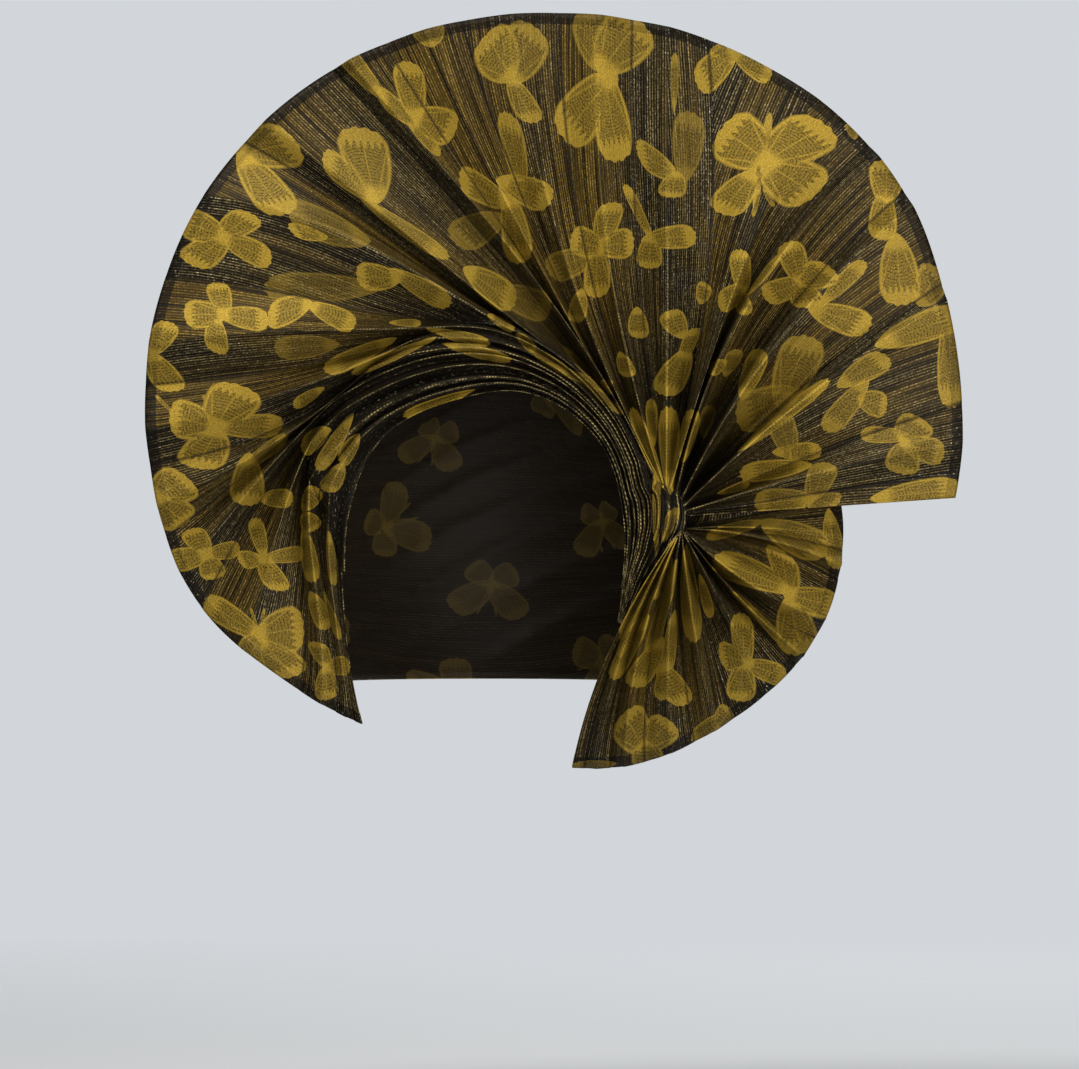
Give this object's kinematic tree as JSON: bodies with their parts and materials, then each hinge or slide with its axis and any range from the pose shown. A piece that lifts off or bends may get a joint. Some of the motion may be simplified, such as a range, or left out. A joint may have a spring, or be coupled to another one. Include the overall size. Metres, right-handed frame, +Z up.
{
  "type": "tied gele head tie",
  "caption": "Gele head tie tied ready to wear: stiff figured cloth folded round the face, with a tall pleated fan above and a smaller one hanging from a pinch at the temple.",
  "frame": {"origin": "middle of the head hollow at the level of the temples", "axes": "+Z up towards the crown, -Y the way the face looks, +X towards the side with the pinch and the lower fan"},
  "size_m": [0.3847, 0.1857, 0.357],
  "materials": {
    "cloth_face": "stiff black and brown jacquard with gold metallic yarn and woven gold butterflies"
  },
  "bodies": {
    "root": {"crown_wrap": "cloth_face", "face_band": "cloth_face", "main_fan": "cloth_face", "lower_fan": "cloth_face"}
  },
  "joints": []
}
